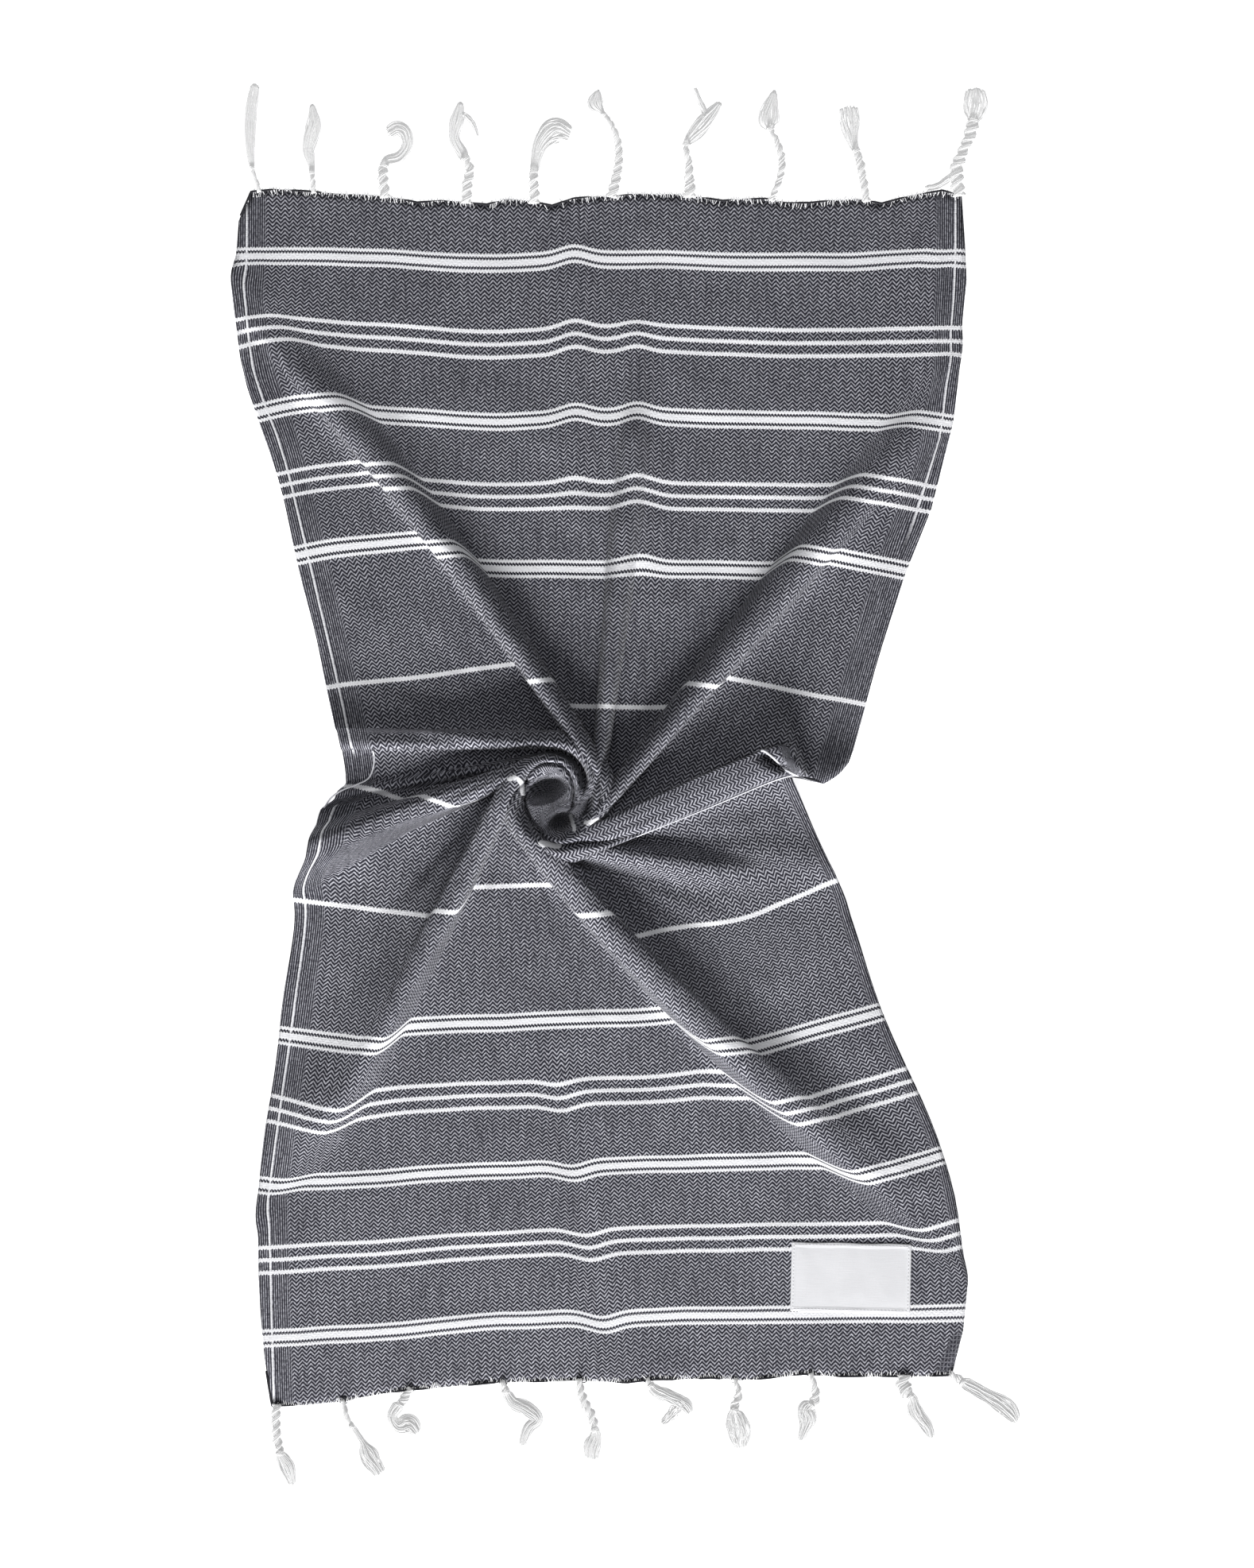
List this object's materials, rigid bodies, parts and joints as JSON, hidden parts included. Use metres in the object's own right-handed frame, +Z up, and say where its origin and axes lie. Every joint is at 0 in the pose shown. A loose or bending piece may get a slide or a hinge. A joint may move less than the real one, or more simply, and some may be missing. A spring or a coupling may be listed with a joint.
{
  "type": "hand towel",
  "caption": "Flat-woven cotton hand towel with knotted tassels at both ends, laid flat with its middle pinched and turned into a spiral of radiating folds.",
  "frame": {"origin": "centre of the object's box in plan, on the surface that the towel lies on", "axes": "+Z up from the surface, +Y along the towel's length towards the end without the label, +X to the right seen from above"},
  "size_m": [0.5493, 0.9798, 0.032],
  "materials": {
    "towel_cloth": "charcoal and white twill-woven cotton with white weft stripes",
    "tassel_cotton": "twisted undyed white cotton cord with a loose brush end",
    "label_tape": "plain white woven tape, bare"
  },
  "bodies": {
    "root": {"towel": "towel_cloth", "label": "label_tape", "tassel_top_01": "tassel_cotton", "tassel_top_02": "tassel_cotton", "tassel_top_03": "tassel_cotton", "tassel_top_04": "tassel_cotton", "tassel_top_05": "tassel_cotton", "tassel_top_06": "tassel_cotton", "tassel_top_07": "tassel_cotton", "tassel_top_08": "tassel_cotton", "tassel_top_09": "tassel_cotton", "tassel_top_10": "tassel_cotton", "tassel_bottom_01": "tassel_cotton", "tassel_bottom_02": "tassel_cotton", "tassel_bottom_03": "tassel_cotton", "tassel_bottom_04": "tassel_cotton", "tassel_bottom_05": "tassel_cotton", "tassel_bottom_06": "tassel_cotton", "tassel_bottom_07": "tassel_cotton", "tassel_bottom_08": "tassel_cotton", "tassel_bottom_09": "tassel_cotton", "tassel_bottom_10": "tassel_cotton"}
  },
  "joints": []
}
